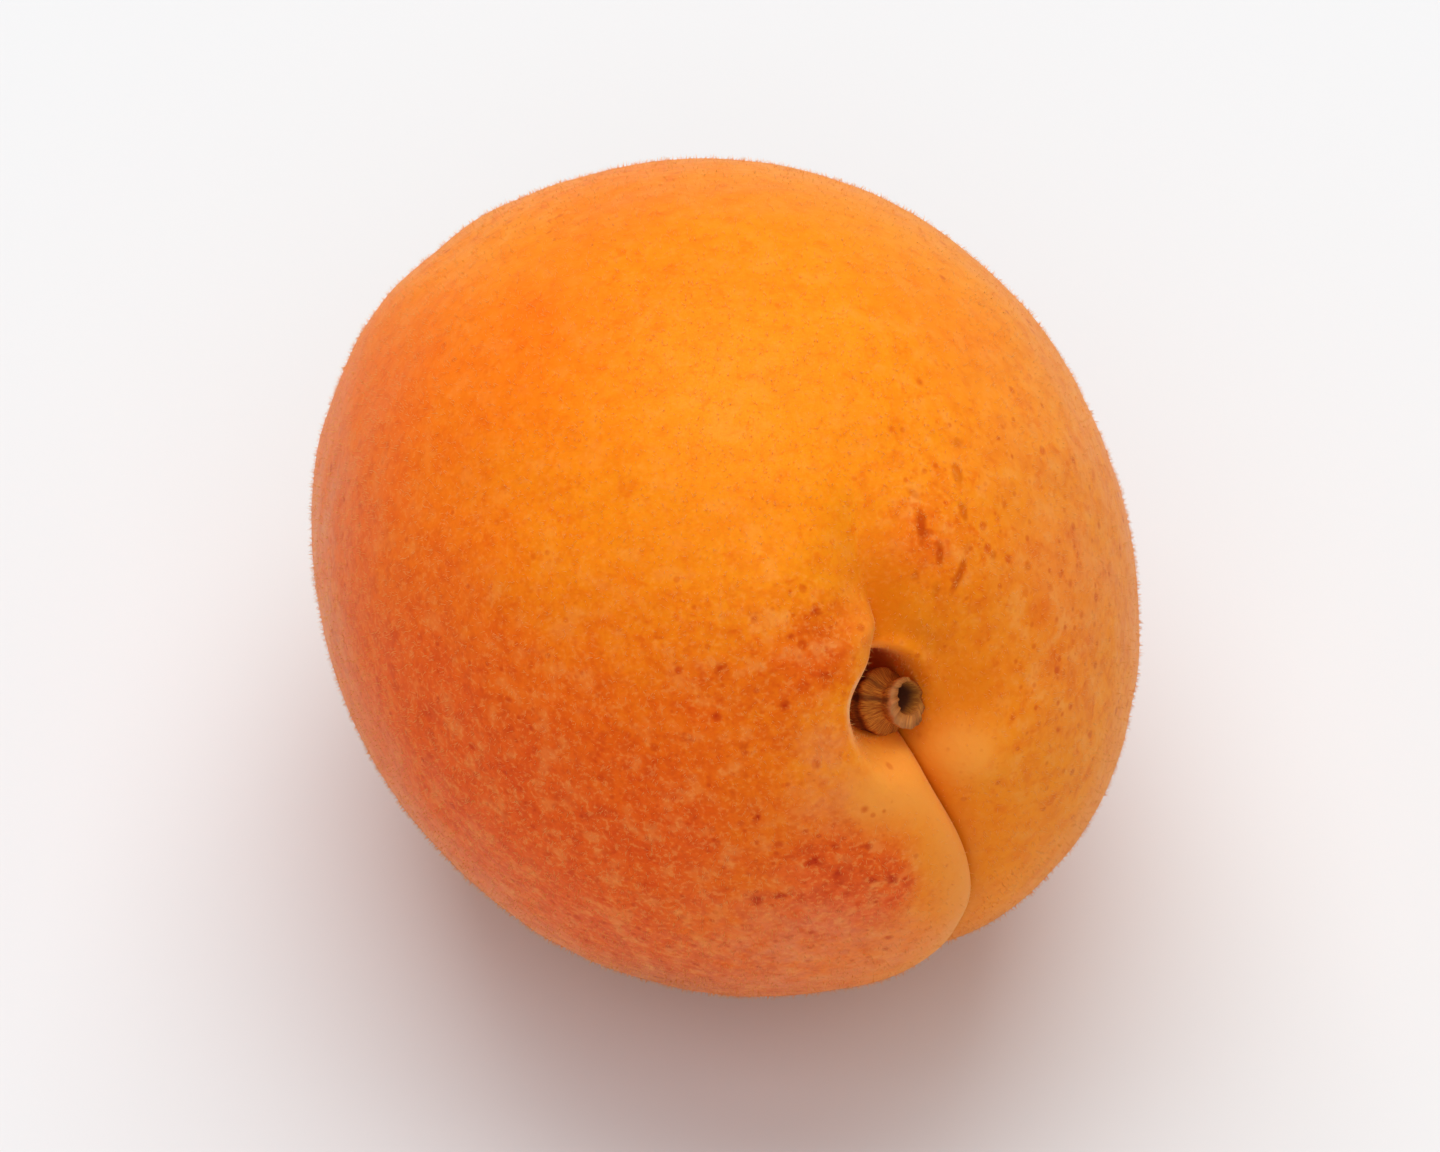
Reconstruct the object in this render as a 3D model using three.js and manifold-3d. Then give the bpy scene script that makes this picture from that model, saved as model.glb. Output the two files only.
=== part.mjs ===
// A ripe apricot lying on its side: the grown fruit and the woody stub of its stem.
// Millimetres, +Z up, resting on the plane z = 0 with the flat spot centred on the origin.
//
// The fruit's own axes: x' points to the suture, y' to the right cheek, z' to the stem.
// "Polar" angles are measured from the stem end, "turns" about the stem axis from the suture.

import * as THREE from 'three';
import Module from 'manifold-3d';

// ---- driving dimensions, mm and degrees ----

const BODY = {
  depth: 47.0, // suture to back seam
  width: 44.0, // cheek to cheek
  height: 51.5, // stem end to apex
  taper: 0.03, // the stem half is this much fuller than the apex half
};

// Broad swells and hollows of the cheeks: where, how high, how wide
const SWELLS = [
  { name: 'suture bulge', turn: 28, polar: 60, rise: 0.6, spread: 24 },
  { name: 'back bulge', turn: -150, polar: 120, rise: 0.45, spread: 26 },
  { name: 'left lobe', turn: -40, polar: 40, rise: 0.25, spread: 26 },
  { name: 'right lobe', turn: 42, polar: 82, rise: 0.3, spread: 30 },
  { name: 'right shoulder', turn: 75, polar: 38, rise: -0.5, spread: 22 },
  { name: 'left shoulder', turn: -150, polar: 24, rise: 0.45, spread: 14 },
  { name: 'back flat', turn: 158, polar: 111, rise: -0.35, spread: 24 },
  { name: 'suture knob', turn: 24, polar: 16.5, rise: 0.4, spread: 5 },
];

// Grooves from the stem to the apex, each with a raised lip on its steep left side.
// Bends and drifts say how many degrees the line wanders at which polar angles.
const SUTURE = {
  depth: 0.75, // down the fruit
  stemDepth: 1.7, // extra depth near the stem cavity
  stemReach: 22, // polar angle over which the extra depth fades
  steepSide: 0.95, // width of the steep left wall
  gentleSide: 2.6, // width of the gentle right wall
  softened: 0, // how much wider the steep wall gets away from the stem
  lip: {
    rise: 0.5,
    offset: 3.6, // lip crest from the groove line
    width: 2.8,
    lean: 0.75, // how far the lip leans over the groove
    leanOffset: 0.9,
    leanWidth: 1.1,
    leanStart: 1.6, // from the stem axis
    floor: 0.3, // share of the lip that is left far from its middle
    polar: 25, // middle of the lip
    reach: 30,
  },
  bends: [
    { polar: 0, spread: 18, turn: -9 },
    { polar: 27, spread: 14, turn: 4 },
  ],
  drifts: [
    { start: 0, end: 25, turn: -2.2 },
    { start: 35, end: 60, turn: -3 },
    { start: 60, end: 110, turn: 8 },
    { start: 140, end: 180, turn: -5 },
  ],
};

const SEAM = {
  depth: 0.28, // the shallow seam down the back
  stemDepth: 1.7,
  stemReach: 18,
  steepSide: 0.85,
  gentleSide: 4,
  softened: 1.4,
  lip: {
    rise: 0.4,
    offset: 1.9,
    width: 1.5,
    lean: 0.85,
    leanOffset: 0.8,
    leanWidth: 1,
    leanStart: 3,
    floor: 0,
    polar: 10,
    reach: 7,
  },
  bends: [
    { polar: 8, spread: 4, turn: 5 },
    { polar: 14, spread: 6, turn: -4 },
    { polar: 32, spread: 15, turn: -16 },
  ],
  drifts: [
    { start: 50, end: 110, turn: 12 },
    { start: 140, end: 180, turn: -12 },
  ],
};

// How the grooves start near the stem and end near the apex
const NEAR_STEM = {
  start: 1.5, // distance from the stem axis where they begin
  full: 4, // and where they have their full depth
  leanReach: 2.2,
  polar: 10, // where the extra depth is greatest
  softFrom: 11, // the steep wall softens between these polar angles
  softTo: 18,
  steepPower: 1.4, // roundness of the walls
  gentlePower: 1.2,
};
const NEAR_APEX = { fadeFrom: 150, fadeTo: 175 };

const CAVITY = {
  depth: 6.6,
  centre: [-0.04, -0.65], // of the pit, on x' and y'
  steepRadius: 2.27, // of the pit on the steep side
  wideRadius: 2.35, // of the pit on the gentle side
  steepness: 6, // wall exponent on the steep side
  gentleness: 2.2, // wall exponent on the gentle side
  gentleTurn: 12, // direction of the gentle side
  stretch: 0.4, // the pit is this much longer, each way
  stretchTurn: -5, // in this direction
  bowlDepth: 1.5, // broad hollow that the pit opens into
  bowlRadius: 5.5,
  bowlCentre: [1.2, 2.4],
};

const APEX = {
  rise: 0.7, // small point at the far end
  riseWidth: 3.2,
  scar: 0.8, // dimple of the flower scar in it
  scarWidth: 1.0,
};

const STEM = {
  radius: 1.8, // below the joint ring
  endRadius: 1.22, // above it
  length: 5.5,
  ringHeight: 3.9, // joint ring from the foot
  ringRise: 0.2,
  ringWidth: 0.3,
  taperBelow: 0.4, // the thinning starts this far below the ring
  taperAbove: 0.6, // and ends this far above it
  neck: 0.12, // waist above the ring
  neckRise: 0.65,
  flare: 0.16, // of the broken end
  flareReach: 1,
  hollowRadius: 0.92, // hollow of the broken end
  hollowDepth: 1.1,
  hollowOffset: [-0.12, 0.27],
  oval: 0.05, // out-of-round
  leanTurn: 89, // direction the stub leans to
  lean: 25.7, // angle from the stem axis
  foot: [0.97, -1.8], // foot centre, on x' and y'
};

const SOCKET = {
  depth: 1.2, // of the foot below the cavity floor
  gap: 0.3, // clear space all round the stub
  height: 6, // how far along the stub the bore reaches
};

const POSE = {
  stemAzimuth: 28.2, // the stem end points this far right of the viewer
  stemElevation: 31, // and this far above level
  roll: 8.6, // the suture is rolled this far from straight down
};

const REST = {
  cut: 0.55, // height of skin pressed flat
  slab: 60, // side of the block that cuts the flat spot
};

const GRID = {
  rings: 61,
  sectors: 92,
  stemCrowding: 0.42, // share of even ring spacing, the rest crowds to the stem
  stemPower: 1.9,
  sutureCrowding: 0.72, // how strongly the meridians crowd to the suture
  stemSectors: 28,
  stemRings: 15,
  hollowRings: 3,
};

const COLOURS = {
  skin: 0xee8322,
  wood: 0x7a4a20,
};

// ---- small maths ----

const rad = THREE.MathUtils.degToRad;
const deg = THREE.MathUtils.radToDeg;
const bell = (x) => Math.exp(-x * x);
const wall = (x, power) => Math.exp(-(Math.abs(x) ** power));

function ramp(from, to, x) {
  const u = THREE.MathUtils.clamp((x - from) / (to - from), 0, 1);
  return u * u * (3 - 2 * u);
}

function direction(turn, polar) {
  return new THREE.Vector3(
    Math.sin(polar) * Math.cos(turn),
    Math.sin(polar) * Math.sin(turn),
    Math.cos(polar),
  );
}

// ---- the fruit's skin ----

// How far a groove's line has wandered at a polar angle
function wander(groove, polar) {
  const p = deg(polar);
  let turn = 0;
  for (const bend of groove.bends) {
    turn += bend.turn * bell((p - bend.polar) / bend.spread);
  }
  for (const drift of groove.drifts) {
    turn += drift.turn * ramp(drift.start, drift.end, p);
  }
  return rad(turn);
}

function swellAt(toward) {
  let rise = 0;
  for (const swell of SWELLS) {
    const apart = toward.distanceTo(direction(rad(swell.turn), rad(swell.polar)));
    rise += swell.rise * bell(apart / rad(swell.spread));
  }
  return rise;
}

// The places below are `across` mm to the right of a groove's line and `out` mm from the stem axis

function lipFade(lip, polar) {
  return lip.floor + (1 - lip.floor) * bell((deg(polar) - lip.polar) / lip.reach);
}

// Rise of the skin beside a groove, negative in the groove
function raised(groove, polar, across, out) {
  const { lip } = groove;
  const depth = groove.depth + groove.stemDepth * bell((deg(polar) - NEAR_STEM.polar) / groove.stemReach);
  const steep = groove.steepSide + groove.softened * ramp(NEAR_STEM.softFrom, NEAR_STEM.softTo, deg(polar));
  const side = across < 0
    ? wall(across / steep, NEAR_STEM.steepPower)
    : wall(across / groove.gentleSide, NEAR_STEM.gentlePower);
  const crest = lip.rise * bell((across + lip.offset) / lip.width) * lipFade(lip, polar);
  return (crest - depth * side) * ramp(NEAR_STEM.start, NEAR_STEM.full, out);
}

// How far the lip leans to the right over its groove
function leaning(groove, polar, across, out) {
  const { lip } = groove;
  const lean = lip.lean * bell((across + lip.leanOffset) / lip.leanWidth);
  const fromStem = ramp(lip.leanStart, lip.leanStart + NEAR_STEM.leanReach, out);
  return lean * fromStem * (1 - ramp(NEAR_APEX.fadeFrom, NEAR_APEX.fadeTo, deg(polar)));
}

function cavityDepth(point) {
  const x = point.x - CAVITY.centre[0];
  const y = point.y - CAVITY.centre[1];
  const out = Math.hypot(x, y);
  const turn = Math.atan2(y, x);
  const gentle = ((1 + Math.cos(turn - rad(CAVITY.gentleTurn))) / 2) ** 2;
  const stretch = CAVITY.stretch * Math.cos(turn - rad(CAVITY.stretchTurn)) ** 2;
  const radius = THREE.MathUtils.lerp(CAVITY.steepRadius, CAVITY.wideRadius, gentle) + stretch;
  const power = THREE.MathUtils.lerp(CAVITY.steepness, CAVITY.gentleness, gentle);
  const fromBowl = Math.hypot(point.x - CAVITY.bowlCentre[0], point.y - CAVITY.bowlCentre[1]);
  const bowl = CAVITY.bowlDepth * bell(fromBowl / CAVITY.bowlRadius);
  return CAVITY.depth * wall(out / radius, power) + bowl;
}

// A point of the skin; `side` is the angle from the suture line, positive to the right cheek
function skinPoint(polar, side) {
  const nearBack = (1 - Math.cos(side)) / 2;
  const turn = side + wander(SUTURE, polar) * (1 - nearBack) + wander(SEAM, polar) * nearBack;
  const toward = direction(turn, polar);
  const half = new THREE.Vector3(BODY.depth / 2, BODY.width / 2, BODY.height / 2);
  const fullness = 1 + BODY.taper * toward.z;

  const point = toward.clone().multiply(half);
  point.x *= fullness;
  point.y *= fullness;
  const outward = toward.clone().divide(half).normalize();
  const out = Math.hypot(point.x, point.y);
  const across = side * out;
  const acrossBack = (side > 0 ? Math.PI - side : -Math.PI - side) * out;

  const beside = raised(SUTURE, polar, across, out) + raised(SEAM, polar, acrossBack, out);
  point.addScaledVector(outward, swellAt(toward) + beside);
  const leanBack = leaning(SEAM, polar, acrossBack, out) * lipFade(SEAM.lip, polar);
  const lean = leaning(SUTURE, polar, across, out) - leanBack;
  point.addScaledVector(new THREE.Vector3(-Math.sin(turn), Math.cos(turn), 0), lean);

  if (toward.z > 0) {
    point.z -= cavityDepth(point);
  } else {
    point.z += APEX.rise * bell(out / APEX.riseWidth) - APEX.scar * bell(out / APEX.scarWidth);
  }
  return point;
}

// ---- closed surfaces from rings of points ----

// Rings run from the first pole to the last; each goes the same way round
function closedSurface(wasm, firstPole, rings, lastPole) {
  const count = rings[0].length;
  const points = [firstPole, ...rings.flat(), lastPole];
  const last = points.length - 1;
  const at = (ring, i) => 1 + ring * count + (i % count);
  const faces = [];
  for (let i = 0; i < count; i += 1) {
    faces.push(0, at(0, i), at(0, i + 1));
    for (let ring = 0; ring < rings.length - 1; ring += 1) {
      faces.push(at(ring, i), at(ring + 1, i), at(ring + 1, i + 1));
      faces.push(at(ring, i), at(ring + 1, i + 1), at(ring, i + 1));
    }
    faces.push(last, at(rings.length - 1, i + 1), at(rings.length - 1, i));
  }
  return new wasm.Manifold(
    new wasm.Mesh({
      numProp: 3,
      vertProperties: Float32Array.from(points.flatMap((p) => p.toArray())),
      triVerts: Uint32Array.from(faces),
    }),
  );
}

function fruitBody(wasm) {
  const rings = [];
  for (let r = 1; r < GRID.rings; r += 1) {
    const along = r / GRID.rings;
    const even = GRID.stemCrowding * along;
    const polar = Math.PI * (even + (1 - GRID.stemCrowding) * along ** GRID.stemPower);
    const ring = [];
    for (let s = 0; s < GRID.sectors; s += 1) {
      const u = (2 * s) / GRID.sectors - 1;
      ring.push(skinPoint(polar, Math.PI * u - GRID.sutureCrowding * Math.sin(Math.PI * u)));
    }
    rings.push(ring);
  }
  const onAxis = (polar) => {
    const pole = skinPoint(polar, 0);
    return new THREE.Vector3(0, 0, pole.z);
  };
  return closedSurface(wasm, onAxis(0), rings, onAxis(Math.PI));
}

// ---- the stem stub, on its own axis with its foot at the origin ----

function stemRadius(height) {
  const thinned = ramp(STEM.ringHeight - STEM.taperBelow, STEM.ringHeight + STEM.taperAbove, height);
  const taper = (STEM.endRadius - STEM.radius) * thinned;
  const ring = STEM.ringRise * bell((height - STEM.ringHeight) / STEM.ringWidth);
  const neck = STEM.neck * bell((height - STEM.ringHeight - STEM.neckRise) / STEM.ringWidth);
  const end = STEM.flare * ramp(STEM.length - STEM.flareReach, STEM.length, height);
  return STEM.radius + taper + ring + end - neck;
}

function stemRing(radius, height, offset = [0, 0]) {
  const ring = [];
  for (let i = 0; i < GRID.stemSectors; i += 1) {
    const angle = (2 * Math.PI * i) / GRID.stemSectors;
    const oval = 1 + STEM.oval * Math.cos(2 * angle);
    const x = offset[0] + radius * oval * Math.cos(angle);
    const y = offset[1] + radius * oval * Math.sin(angle);
    ring.push(new THREE.Vector3(x, y, height));
  }
  return ring;
}

function stemBody(wasm) {
  const rings = [];
  for (let r = GRID.hollowRings; r >= 1; r -= 1) {
    const along = r / GRID.hollowRings;
    const height = STEM.length - STEM.hollowDepth * (1 - along ** 3);
    rings.unshift(stemRing(STEM.hollowRadius * along, height, STEM.hollowOffset));
  }
  for (let r = 0; r <= GRID.stemRings; r += 1) {
    const height = STEM.length * (1 - r / GRID.stemRings);
    rings.push(stemRing(stemRadius(height), height));
  }
  const hollow = new THREE.Vector3(...STEM.hollowOffset, STEM.length - STEM.hollowDepth);
  return closedSurface(wasm, hollow, rings, new THREE.Vector3());
}

// ---- placing ----

// From the fruit's own axes to the resting pose
function restingPose() {
  const azimuth = rad(POSE.stemAzimuth);
  const elevation = rad(POSE.stemElevation);
  const stemAxis = new THREE.Vector3(
    Math.sin(azimuth) * Math.cos(elevation),
    -Math.cos(azimuth) * Math.cos(elevation),
    Math.sin(elevation),
  );
  const sutureAxis = new THREE.Vector3(0, 0, -1).projectOnPlane(stemAxis).normalize();
  sutureAxis.applyAxisAngle(stemAxis, rad(POSE.roll));
  const cheekAxis = new THREE.Vector3().crossVectors(stemAxis, sutureAxis);
  return new THREE.Matrix4().makeBasis(sutureAxis, cheekAxis, stemAxis);
}

// From the stub's own axis to its place in the fruit
function stemPlace() {
  const axis = direction(rad(STEM.leanTurn), rad(STEM.lean));
  const turned = new THREE.Quaternion().setFromUnitVectors(new THREE.Vector3(0, 0, 1), axis);
  const footHeight = BODY.height / 2 - CAVITY.depth - SOCKET.depth;
  const foot = new THREE.Vector3(...STEM.foot, footHeight);
  return new THREE.Matrix4().compose(foot, turned, new THREE.Vector3(1, 1, 1));
}

function toMesh(name, solid, colour, roughness) {
  const { vertProperties, triVerts } = solid.getMesh();
  const geometry = new THREE.BufferGeometry();
  geometry.setAttribute('position', new THREE.BufferAttribute(vertProperties, 3));
  geometry.setIndex(new THREE.BufferAttribute(triVerts, 1));
  const material = new THREE.MeshStandardMaterial({ color: colour, roughness, metalness: 0 });
  const mesh = new THREE.Mesh(geometry, material);
  mesh.name = name;
  return mesh;
}

// Middle of the flat spot: the points of the solid that lie on the plane z = 0
function flatCentre(solid) {
  const { vertProperties } = solid.getMesh();
  const spot = new THREE.Box3();
  for (let i = 0; i < vertProperties.length; i += 3) {
    const point = new THREE.Vector3().fromArray(vertProperties, i);
    if (Math.abs(point.z) < 1e-4) {
      spot.expandByPoint(point);
    }
  }
  return spot.getCenter(new THREE.Vector3());
}

async function apricot() {
  const wasm = await Module();
  wasm.setup();
  const stub = stemBody(wasm).transform(stemPlace().elements);
  const boreRadius = STEM.radius * (1 + STEM.oval) + SOCKET.gap;
  const bore = wasm.Manifold.cylinder(SOCKET.height + SOCKET.gap, boreRadius, boreRadius, GRID.stemSectors)
    .translate([0, 0, -SOCKET.gap])
    .transform(stemPlace().elements);

  const pose = restingPose().elements;
  const grown = fruitBody(wasm).subtract(bore).transform(pose);
  const drop = -grown.boundingBox().min[2] - REST.cut;
  const ground = wasm.Manifold.cube([REST.slab, REST.slab, REST.slab], true).translate([0, 0, -REST.slab / 2]);
  const rested = grown.translate([0, 0, drop]).subtract(ground);
  const centre = flatCentre(rested);
  const fruit = rested.translate([-centre.x, -centre.y, 0]);
  const stem = stub.transform(pose).translate([-centre.x, -centre.y, drop]);

  const group = new THREE.Group();
  group.name = 'apricot';
  group.add(toMesh('fruit', fruit, COLOURS.skin, 0.6));
  group.add(toMesh('stem', stem, COLOURS.wood, 0.8));
  return group;
}

export default await apricot();
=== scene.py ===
"""A ripe apricot lying on its side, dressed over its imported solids.

Lengths are in metres unless a name says otherwise. The fruit's own axes are x' to
the suture, y' to the right cheek and z' to the stem.
"""

import logging
import math
from dataclasses import dataclass, field
from enum import Enum

import bpy
import numpy as np
from mathutils import Matrix, Quaternion, Vector


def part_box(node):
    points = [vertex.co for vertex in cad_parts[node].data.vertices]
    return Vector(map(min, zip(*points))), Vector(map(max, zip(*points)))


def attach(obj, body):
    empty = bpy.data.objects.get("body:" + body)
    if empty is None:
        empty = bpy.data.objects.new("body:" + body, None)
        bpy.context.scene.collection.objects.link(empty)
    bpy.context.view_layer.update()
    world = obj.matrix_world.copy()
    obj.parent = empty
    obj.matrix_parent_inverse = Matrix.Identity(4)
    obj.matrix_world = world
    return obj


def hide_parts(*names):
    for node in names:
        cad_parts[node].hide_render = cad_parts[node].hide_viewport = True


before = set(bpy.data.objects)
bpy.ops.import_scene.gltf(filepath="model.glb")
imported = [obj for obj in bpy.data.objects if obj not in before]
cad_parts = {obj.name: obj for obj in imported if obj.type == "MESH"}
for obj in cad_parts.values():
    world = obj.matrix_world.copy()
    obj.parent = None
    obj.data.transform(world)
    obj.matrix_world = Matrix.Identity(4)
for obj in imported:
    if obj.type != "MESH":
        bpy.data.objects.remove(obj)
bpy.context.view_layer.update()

MM = 0.001
Pair = tuple[float, float]
Triple = tuple[float, float, float]
Colour = tuple[float, float, float, float]
LOG = logging.getLogger("apricot")


# ---------------------------------------------------------------- small maths


def bell(x: np.ndarray) -> np.ndarray:
    """Return a smooth bump that is 1 at 0."""
    return np.exp(-np.square(x))


def wall(x: np.ndarray, power: float) -> np.ndarray:
    """Return a bump that is 1 at 0 and falls off by the given power."""
    return np.exp(-(np.abs(x) ** power))


def ramp(low: float, high: float, x: np.ndarray) -> np.ndarray:
    """Return a smooth step from 0 at low to 1 at high."""
    u = np.clip((x - low) / (high - low), 0.0, 1.0)
    return u * u * (3.0 - 2.0 * u)


def direction(turn: np.ndarray, polar: np.ndarray) -> np.ndarray:
    """Return unit vectors on the fruit's own axes.

    Args:
        turn: Angle about the stem axis from the suture, in radians.
        polar: Angle from the stem axis, in radians.

    Returns:
        An array of vectors, one row for each angle pair.
    """
    return np.stack(
        [np.sin(polar) * np.cos(turn), np.sin(polar) * np.sin(turn), np.cos(polar) + 0.0 * turn],
        axis=-1,
    )


def linear(value: int) -> float:
    """Return the linear share of an 8-bit display value."""
    part = value / 255.0
    return part / 12.92 if part <= 0.04045 else ((part + 0.055) / 1.055) ** 2.4


def srgb(red: int, green: int, blue: int) -> Colour:
    """Return a linear colour with alpha from 8-bit display values."""
    return (linear(red), linear(green), linear(blue), 1.0)


class Ripple:
    """Seeded smooth noise made of sine waves in random directions."""

    # Shortest and longest wave, as shares of the middle wavelength
    SPREAD = (0.7, 1.5)

    def __init__(self, seed: int, wavelength_mm: float, waves: int = 18) -> None:
        """Choose the waves.

        Args:
            seed: Seed of the random choice.
            wavelength_mm: Middle wavelength of the waves.
            waves: Number of waves that are summed.
        """
        rng = np.random.default_rng(seed)
        heading = rng.normal(size=(waves, 3))
        heading /= np.linalg.norm(heading, axis=1, keepdims=True)
        length = wavelength_mm * rng.uniform(*self.SPREAD, size=(waves, 1))
        self.pitch = heading * 2.0 * math.pi / length
        self.phase = rng.uniform(0.0, 2.0 * math.pi, size=waves)

    def at(self, points_mm: np.ndarray) -> np.ndarray:
        """Return the noise, about -1 to 1, at each point."""
        waves = np.sin(points_mm @ self.pitch.T + self.phase)
        return waves.sum(axis=-1) / math.sqrt(2.0 * len(self.phase))


# ---------------------------------------------------------------- shader maths


class Blend(Enum):
    """How one colour is laid over another."""

    MIX = "MIX"
    MULTIPLY = "MULTIPLY"


class Sum(Enum):
    """What a Math node works out from two values."""

    ADD = "ADD"
    SUBTRACT = "SUBTRACT"
    MULTIPLY = "MULTIPLY"
    LARGER = "MAXIMUM"


@dataclass(frozen=True)
class Noise:
    """One layer of soft noise: cycles in a millimetre, finer layers and their share."""

    per_mm: float
    detail: float = 2.0
    rough: float = 0.5
    distortion: float = 0.0


class Link:
    """An output socket whose arithmetic adds Math nodes."""

    def __init__(self, net: "Net", socket: bpy.types.NodeSocket) -> None:
        """Wrap a socket of a net."""
        self.net = net
        self.socket = socket

    def __add__(self, other: "Link | float") -> "Link":
        """Return self + other."""
        return self.net.math(Sum.ADD, self, other)

    def __radd__(self, other: float) -> "Link":
        """Return other + self."""
        return self.net.math(Sum.ADD, other, self)

    def __sub__(self, other: "Link | float") -> "Link":
        """Return self - other."""
        return self.net.math(Sum.SUBTRACT, self, other)

    def __rsub__(self, other: float) -> "Link":
        """Return other - self."""
        return self.net.math(Sum.SUBTRACT, other, self)

    def __mul__(self, other: "Link | float") -> "Link":
        """Return self * other."""
        return self.net.math(Sum.MULTIPLY, self, other)

    def __rmul__(self, other: float) -> "Link":
        """Return other * self."""
        return self.net.math(Sum.MULTIPLY, other, self)

    def beside(self, output: str) -> "Link":
        """Return another output of the same node."""
        return Link(self.net, self.socket.node.outputs[output])

    def stirred(self, noise: "Link", amount: float) -> "Link":
        """Return the value with noise about it."""
        return self + (noise - 0.5) * amount

    def clamp(self) -> "Link":
        """Return the value held between 0 and 1."""
        return self.net.math(Sum.ADD, self, 0.0, clamp=True)

    def step(self, low: float, high: float) -> "Link":
        """Return a smooth step from 0 at low to 1 at high.

        Args:
            low: Value at which the step starts.
            high: Value at which the step is full.

        Returns:
            The step, 0 to 1.
        """
        return self.net.node(
            "ShaderNodeMapRange",
            {"interpolation_type": "SMOOTHSTEP"},
            {"Value": self, "From Min": low, "From Max": high},
        )


class Net:
    """The node tree of one material."""

    def __init__(self, name: str) -> None:
        """Make a material with an empty tree.

        Args:
            name: Name of the material.
        """
        self.material = bpy.data.materials.new(name)
        self.material.use_nodes = True
        self.tree = self.material.node_tree
        self.tree.nodes.clear()

    def node(
        self,
        kind: str,
        settings: dict | None = None,
        inputs: dict | None = None,
        output: str | int = 0,
    ) -> Link | None:
        """Add a node.

        Args:
            kind: Node type.
            settings: Properties of the node, set before its inputs.
            inputs: Values or links by socket name or number.
            output: Name or number of the output to return.

        Returns:
            The chosen output, or None for a node that has none.
        """
        made = self.tree.nodes.new(kind)
        for key, value in (settings or {}).items():
            setattr(made, key, value)
        for key, value in (inputs or {}).items():
            if isinstance(value, Link):
                self.tree.links.new(value.socket, made.inputs[key])
            else:
                made.inputs[key].default_value = value
        return Link(self, made.outputs[output]) if made.outputs else None

    def math(
        self, how: Sum, a: "Link | float", b: "Link | float", clamp: bool = False
    ) -> Link:
        """Add a Math node and return its value, held between 0 and 1 where clamp is true."""
        settings = {"operation": how.value, "use_clamp": clamp}
        return self.node("ShaderNodeMath", settings, {0: a, 1: b})

    def largest(self, a: "Link | float", b: "Link | float") -> Link:
        """Return the larger of two values."""
        return self.math(Sum.LARGER, a, b)

    def mix(
        self,
        share: "Link | float",
        a: "Link | Colour",
        b: "Link | Colour",
        how: Blend = Blend.MIX,
    ) -> Link:
        """Mix two colours.

        Args:
            share: Share of the second colour.
            a: First colour.
            b: Second colour.
            how: How the second colour is laid over the first.

        Returns:
            The mixed colour.
        """
        return self.node(
            "ShaderNodeMix",
            {"data_type": "RGBA", "blend_type": how.value},
            {"Factor": share, 6: a, 7: b},
            output=2,
        )

    def measured(self, name: str) -> Link:
        """Return a number that the mesh holds at each point."""
        return self.node("ShaderNodeAttribute", {"attribute_name": name}, output="Fac")

    def places(self) -> Link:
        """Return the place on the object, in metres."""
        return self.node("ShaderNodeTexCoord", output="Object")

    def scaled(self, place: Link, scale: Triple) -> Link:
        """Return a place scaled along each axis."""
        return self.node("ShaderNodeVectorMath", {"operation": "MULTIPLY"}, {0: place, 1: scale})

    def noise(self, place: Link, layer: Noise) -> Link:
        """Add a layer of soft noise.

        Args:
            place: Place on the surface, in metres.
            layer: Layer to add.

        Returns:
            The noise, about 0 to 1.
        """
        return self.node(
            "ShaderNodeTexNoise",
            {},
            {
                "Vector": place,
                "Scale": layer.per_mm / MM,
                "Detail": layer.detail,
                "Roughness": layer.rough,
                "Distortion": layer.distortion,
            },
        )

    def bump(
        self, height: Link, distance: float, strength: float = 1.0, over: Link | None = None
    ) -> Link:
        """Add a Bump node.

        Args:
            height: Height from 0 to 1.
            distance: Depth that a height of 1 stands for, in metres.
            strength: Share of the effect.
            over: Normal that the bump is added to.

        Returns:
            The bent normal.
        """
        inputs = {"Height": height, "Distance": distance, "Strength": strength}
        if over is not None:
            inputs["Normal"] = over
        return self.node("ShaderNodeBump", {}, inputs)

    def finish(self, inputs: dict) -> bpy.types.Material:
        """Feed a Principled shader to the output.

        Args:
            inputs: Values or links of the shader's sockets.

        Returns:
            The finished material.
        """
        shader = self.node("ShaderNodeBsdfPrincipled", {}, inputs)
        self.node("ShaderNodeOutputMaterial", {}, {"Surface": shader})
        return self.material


# ---------------------------------------------------------------- finishes


@dataclass(frozen=True)
class Share:
    """The strength of a layer: everywhere, and more on flushed or speckled skin."""

    base: float
    blush: float = 0.0
    speckle: float = 0.0

    def over(self, net: Net) -> Link | float:
        """Return the strength over the skin.

        Args:
            net: Node tree to add to.

        Returns:
            The strength.
        """
        share = self.base
        for name, amount in (("blush", self.blush), ("speckle", self.speckle)):
            if amount:
                share = share + net.measured(name) * amount
        return share


@dataclass(frozen=True)
class Dots:
    """One layer of small spots: spots per millimetre, their size and their shares."""

    per_mm: float
    size: float
    strength: float
    share: float


@dataclass(frozen=True)
class Dash:
    """One red dash: its place and heading in degrees, its length and width in millimetres."""

    turn: float
    polar: float
    heading: float
    length: float
    width: float
    strength: float


# How far from the middle of the fruit the dashes lie, in millimetres
DASH_REACH = 24.0

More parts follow.
